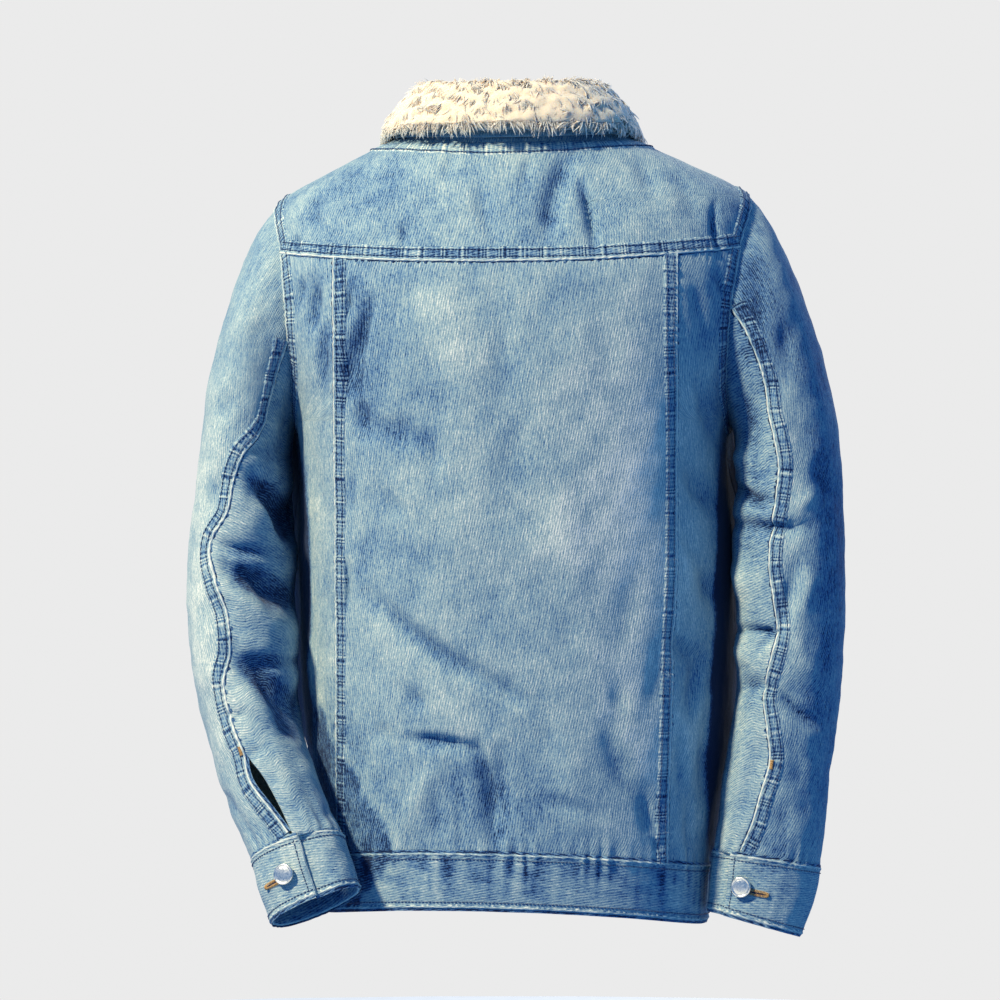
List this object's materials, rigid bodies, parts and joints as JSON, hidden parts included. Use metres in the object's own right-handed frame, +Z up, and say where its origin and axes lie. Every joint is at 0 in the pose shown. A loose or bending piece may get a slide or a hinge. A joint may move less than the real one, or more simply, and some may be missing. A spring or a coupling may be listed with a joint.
{
  "type": "sherpa lined jacket",
  "caption": "Hip-length denim jacket with a turned-down fleece collar, yoke, long back seams, two-piece sleeves, buttoned cuffs and a waistband, filled out and closed",
  "frame": {"origin": "the middle of the neck opening, level with the neck seam at the back, where the wearer's shoulders hold the jacket", "axes": "+Z up, the front with its buttons faces -Y and the back +Y, the wearer's left is +X"},
  "size_m": [0.547, 0.306, 0.7078],
  "materials": {
    "denim": "stone-washed light blue denim twill, matt, faded along the seams",
    "sherpa": "cream curled fleece pile",
    "button_metal": "bright nickel with a soft satin face"
  },
  "bodies": {
    "root": {"back_centre_panel": "denim", "back_side_panel_left": "denim", "back_side_panel_right": "denim", "back_yoke": "denim", "front_left": "denim", "front_right": "denim", "front_placket": "denim", "waistband": "denim", "sleeve_left_top": "denim", "sleeve_left_under": "denim", "sleeve_right_top": "denim", "sleeve_right_under": "denim", "cuff_left": "denim", "cuff_right": "denim", "under_collar": "denim", "collar_sherpa": "sherpa", "cuff_button_left": "button_metal", "cuff_button_right": "button_metal", "front_button_1": "button_metal", "front_button_2": "button_metal", "front_button_3": "button_metal", "front_button_4": "button_metal", "front_button_5": "button_metal", "front_button_6": "button_metal"}
  },
  "joints": []
}
